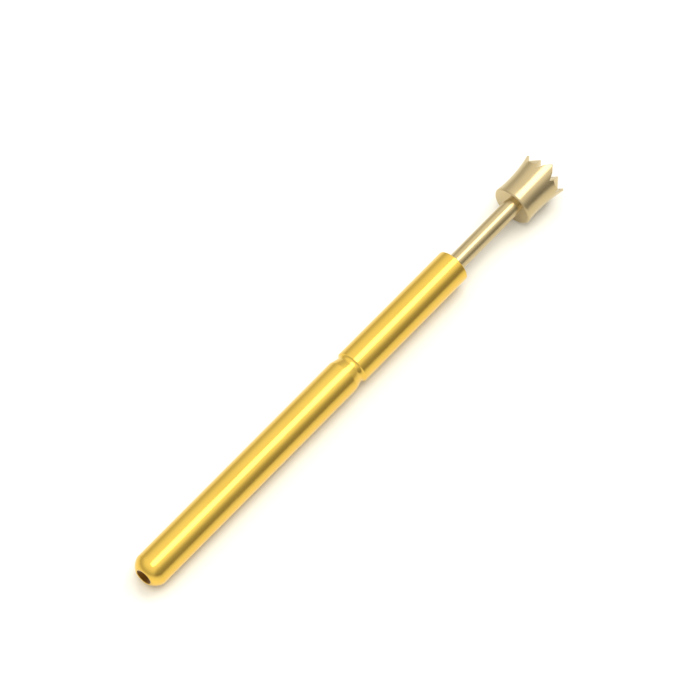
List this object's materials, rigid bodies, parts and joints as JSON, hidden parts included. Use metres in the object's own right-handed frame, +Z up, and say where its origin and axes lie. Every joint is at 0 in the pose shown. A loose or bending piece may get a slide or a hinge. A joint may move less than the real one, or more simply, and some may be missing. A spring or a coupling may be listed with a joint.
{
  "type": "spring test probe",
  "caption": "Spring-loaded test probe, or pogo pin: a gold-plated barrel with a rolled crimp and a nickel plunger that ends in a milled crown head.",
  "frame": {"origin": "on the pin's axis, at the mouth of the barrel", "axes": "+X along the pin towards its crown head, +Z up with the pin lying on its side; the pin is round about X"},
  "size_m": [0.0334, 0.0026, 0.0026],
  "materials": {
    "gold_plated_barrel": "polished gold plating",
    "nickel_plated_plunger": "polished nickel plating",
    "spring_steel": "drawn wire"
  },
  "bodies": {
    "barrel": {"barrel": "gold_plated_barrel"},
    "spring": {"spring": "spring_steel"},
    "plunger": {"plunger": "nickel_plated_plunger"}
  },
  "joints": [
    {"name": "plunger_spin", "type": "hinge", "parent": "barrel", "child": "spring", "pos_m": [0, 0, 0], "axis": [1, 0, 0], "continuous": true},
    {"name": "plunger_travel", "type": "slide", "parent": "spring", "child": "plunger", "axis": [-1, 0, 0], "range_m": [0, 0.0049], "stiffness_N_per_m": 300, "springref_m": -0.002, "deforming": ["spring"]}
  ]
}
